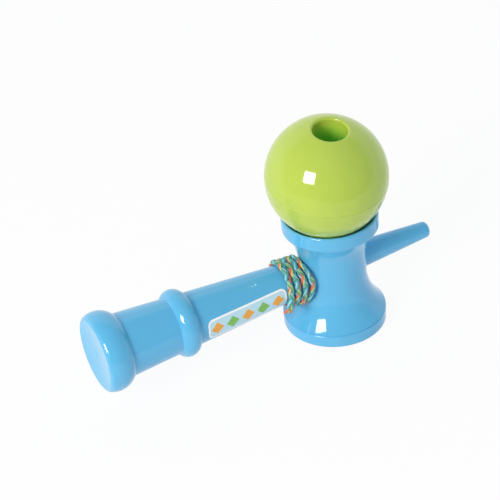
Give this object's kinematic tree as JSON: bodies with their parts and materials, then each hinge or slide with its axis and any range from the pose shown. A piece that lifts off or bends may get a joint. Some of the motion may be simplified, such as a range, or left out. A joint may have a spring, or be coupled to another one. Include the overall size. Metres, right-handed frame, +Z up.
{
  "type": "cup and ball toy",
  "caption": "Cup and ball toy: a tapered handle with a spike, a crosspiece with a small and a big cup, and a hollow ball with a spike hole, tied on by a braided cord.",
  "frame": {"origin": "on the crosspiece's axis, in the plane of the big cup's rim, on which the toy stands", "axes": "+Z up along the crosspiece's axis to the small cup, +X along the handle to the tip of the spike, front of the toy towards -Y"},
  "size_m": [0.1856, 0.0599, 0.1156],
  "materials": {
    "blue_plastic": "glossy moulded",
    "green_plastic": "glossy moulded",
    "label_film": "printed film",
    "cord_braid": "braided",
    "bead_plastic": "satin"
  },
  "bodies": {
    "toy": {"handle": "blue_plastic", "butt_cap": "blue_plastic", "crosspiece_spool": "blue_plastic", "small_cup": "blue_plastic", "big_cup": "blue_plastic", "label_sticker": "label_film", "cord_tail": "cord_braid", "cord_winding": "cord_braid", "cord_riser": "cord_braid"},
    "stopper": {"stopper_bead": "bead_plastic", "stopper_knot": "cord_braid", "cord_leader": "cord_braid"},
    "ball": {"ball_upper_shell": "green_plastic", "ball_lower_shell": "green_plastic"}
  },
  "joints": [
    {"name": "ball_lift", "type": "slide", "parent": "toy", "child": "stopper", "axis": [0, 0, 1], "range_m": [0, 0.024]},
    {"name": "ball_spin", "type": "hinge", "parent": "stopper", "child": "ball", "pos_m": [-0.00131, -0.00156, 0.08599], "axis": [0.0258, -0.165, 0.9859], "continuous": true}
  ]
}
